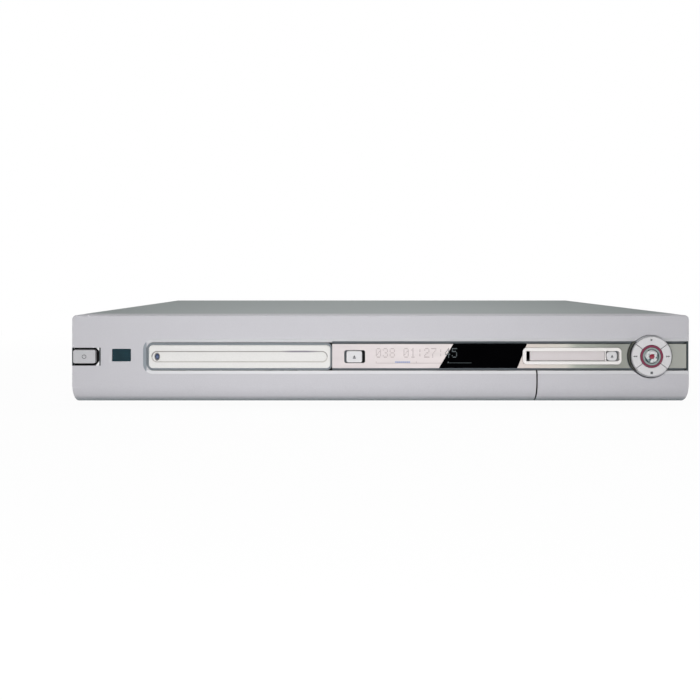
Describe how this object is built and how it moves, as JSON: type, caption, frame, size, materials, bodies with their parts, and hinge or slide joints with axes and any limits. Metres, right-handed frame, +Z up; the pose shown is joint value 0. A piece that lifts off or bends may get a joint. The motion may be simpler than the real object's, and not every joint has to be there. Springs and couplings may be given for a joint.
{
  "type": "disc recorder",
  "caption": "Slim silver living-room disc recorder with a loading tray, mirrored display strip, card slot, round key dial, front flap and rear sockets.",
  "frame": {"origin": "on the floor, under the middle of the whole object", "axes": "+Z up, the faceplate looks along -Y, +X to the viewer's right"},
  "size_m": [0.435, 0.3418, 0.066],
  "materials": {
    "silver_plastic": "silver lacquered moulding, fine metallic grain",
    "tray_plastic": "pale silver lacquer",
    "mirror_strip": "half-mirrored pale strip",
    "pearl_plastic": "pearl silver plastic, smooth",
    "smoked_window": "near-black smoked window",
    "teal_window": "dark teal infrared window",
    "case_steel": "grey painted sheet steel",
    "zinc_steel": "zinc plated sheet steel",
    "black_plastic": "black moulded plastic",
    "dark_plastic": "dark grey moulded plastic",
    "white_gear": "natural white acetal",
    "belt_rubber": "black rubber",
    "foot_rubber": "black rubber",
    "board_green": "green lacquered laminate",
    "chip_black": "moulded epoxy",
    "heat_aluminium": "extruded",
    "bright_metal": "nickel plated",
    "screw_metal": "zinc plated",
    "picture_yellow": "yellow plastic",
    "sound_white": "white plastic",
    "sound_red": "red plastic",
    "ring_red": "red translucent light guide",
    "lamp_blue": "dark blue lamp lens",
    "lens_glass": "coated lens",
    "winding": "yellow tape and laminated iron"
  },
  "bodies": {
    "case": {"front_panel": "silver_plastic", "trim_band": "mirror_strip", "display_window": "smoked_window", "display_module": "dark_plastic", "media_bezel": "pearl_plastic", "card_cage": "zinc_steel", "dial_cup": "pearl_plastic", "record_light_ring": "ring_red", "ir_window": "teal_window", "tact_switches": "black_plastic", "socket_panel": "dark_plastic", "loader_motor": "zinc_steel", "drive_belt": "belt_rubber", "loader_frame": "black_plastic", "clamp_bridge": "zinc_steel", "chassis_base": "zinc_steel", "top_cover": "case_steel", "feet": "black_plastic", "foot_pads": "foot_rubber", "video_sockets": "picture_yellow", "left_audio_sockets": "sound_white", "right_audio_sockets": "sound_red", "phono_shells": "bright_metal", "front_data_sockets": "black_plastic", "rear_panel": "case_steel", "scart_sockets": "black_plastic", "tuner_module": "zinc_steel", "mains_inlet": "black_plastic", "fan_frame": "black_plastic", "circuit_boards": "board_green", "board_chips": "chip_black", "heat_sinks": "heat_aluminium", "power_components": "winding", "screws": "screw_metal"},
    "tray": {"disc_tray": "dark_plastic", "tray_front": "tray_plastic", "tray_lamp_lens": "lamp_blue"},
    "tray_gear": {"tray_gear": "white_gear"},
    "pulley_gear": {"pulley_gear": "white_gear"},
    "motor_pulley": {"motor_pulley": "white_gear"},
    "standby_button": {"standby_button": "pearl_plastic"},
    "eject_button": {"eject_button": "pearl_plastic"},
    "media_eject_button": {"media_eject_button": "pearl_plastic"},
    "media_door": {"media_door": "pearl_plastic"},
    "front_flap": {"front_flap": "silver_plastic"},
    "nav_key_right": {"nav_key_right": "pearl_plastic"},
    "nav_key_up": {"nav_key_up": "pearl_plastic"},
    "nav_key_left": {"nav_key_left": "pearl_plastic"},
    "nav_key_down": {"nav_key_down": "pearl_plastic"},
    "record_button": {"record_button": "bright_metal"},
    "traverse": {"traverse_frame": "zinc_steel", "traverse_motors": "dark_plastic", "guide_rods": "bright_metal"},
    "turntable": {"turntable": "black_plastic"},
    "sled": {"pickup_sled": "heat_aluminium", "pickup_lens": "lens_glass"},
    "feed_screw": {"feed_screw": "bright_metal"},
    "clamper": {"clamper": "white_gear"},
    "fan": {"fan_rotor": "black_plastic"}
  },
  "joints": [
    {"name": "tray_slide", "type": "slide", "parent": "case", "child": "tray", "axis": [0, -1, 0], "range_m": [0, 0.142]},
    {"name": "tray_gear_turn", "type": "hinge", "parent": "case", "child": "tray_gear", "pos_m": [-0.06342, -0.14395, 0.0272], "axis": [0, 0, 1], "range_deg": [-680, 2]},
    {"name": "pulley_gear_turn", "type": "hinge", "parent": "case", "child": "pulley_gear", "pos_m": [-0.08154, -0.14395, 0.0272], "axis": [0, 0, 1], "range_deg": [-2, 1358]},
    {"name": "motor_pulley_turn", "type": "hinge", "parent": "case", "child": "motor_pulley", "pos_m": [-0.11254, -0.14395, 0.0226], "axis": [0, 0, 1], "range_deg": [-5, 5631.87]},
    {"name": "standby_press", "type": "slide", "parent": "case", "child": "standby_button", "axis": [0, 1, 0], "range_m": [0, 0.0007], "stiffness_N_per_m": 250},
    {"name": "eject_press", "type": "slide", "parent": "case", "child": "eject_button", "axis": [0, 1, 0], "range_m": [0, 0.0007], "stiffness_N_per_m": 250},
    {"name": "media_eject_press", "type": "slide", "parent": "case", "child": "media_eject_button", "axis": [0, 1, 0], "range_m": [0, 0.0007], "stiffness_N_per_m": 250},
    {"name": "record_press", "type": "slide", "parent": "case", "child": "record_button", "axis": [0, 1, 0], "range_m": [0, 0.0007], "stiffness_N_per_m": 250},
    {"name": "nav_right_press", "type": "slide", "parent": "case", "child": "nav_key_right", "axis": [0, 1, 0], "range_m": [0, 0.0007], "stiffness_N_per_m": 250},
    {"name": "nav_up_press", "type": "slide", "parent": "case", "child": "nav_key_up", "axis": [0, 1, 0], "range_m": [0, 0.0007], "stiffness_N_per_m": 250},
    {"name": "nav_left_press", "type": "slide", "parent": "case", "child": "nav_key_left", "axis": [0, 1, 0], "range_m": [0, 0.0007], "stiffness_N_per_m": 250},
    {"name": "nav_down_press", "type": "slide", "parent": "case", "child": "nav_key_down", "axis": [0, 1, 0], "range_m": [0, 0.0007], "stiffness_N_per_m": 250},
    {"name": "media_door_swing", "type": "hinge", "parent": "case", "child": "media_door", "pos_m": [0.1303, -0.16575, 0.04105], "axis": [1, 0, 0], "range_deg": [0, 88], "stiffness_Nm_per_rad": 0.0004},
    {"name": "flap_swing", "type": "hinge", "parent": "case", "child": "front_flap", "pos_m": [0.16405, -0.15995, 0.012], "axis": [1, 0, 0], "range_deg": [0, 90]},
    {"name": "traverse_tilt", "type": "hinge", "parent": "case", "child": "traverse", "pos_m": [-0.0993, -0.01795, 0.026], "axis": [1, 0, 0], "range_deg": [0, 5]},
    {"name": "turntable_spin", "type": "hinge", "parent": "traverse", "child": "turntable", "pos_m": [-0.0993, -0.08795, 0.036], "axis": [0, 0, 1], "continuous": true},
    {"name": "sled_slide", "type": "slide", "parent": "traverse", "child": "sled", "axis": [0, 1, 0], "range_m": [0, 0.034]},
    {"name": "feed_screw_turn", "type": "hinge", "parent": "traverse", "child": "feed_screw", "pos_m": [-0.0753, -0.07495, 0.0278], "axis": [0, 1, 0], "range_deg": [-4082, 2]},
    {"name": "clamper_spin", "type": "hinge", "parent": "case", "child": "clamper", "pos_m": [-0.0993, -0.08795, 0.041], "axis": [0, 0, 1], "continuous": true},
    {"name": "fan_spin", "type": "hinge", "parent": "case", "child": "fan", "pos_m": [-0.03, 0.15595, 0.037], "axis": [0, 1, 0], "continuous": true}
  ],
  "couplings": [
    {"joint": "tray_gear_turn", "follows": "tray_slide", "rad_per_m": -83.333},
    {"joint": "pulley_gear_turn", "follows": "tray_slide", "rad_per_m": 166.67},
    {"joint": "motor_pulley_turn", "follows": "tray_slide", "rad_per_m": 691.6},
    {"joint": "feed_screw_turn", "follows": "sled_slide", "rad_per_m": -2094.4},
    {"joint": "clamper_spin", "follows": "turntable_spin", "ratio": 1}
  ]
}
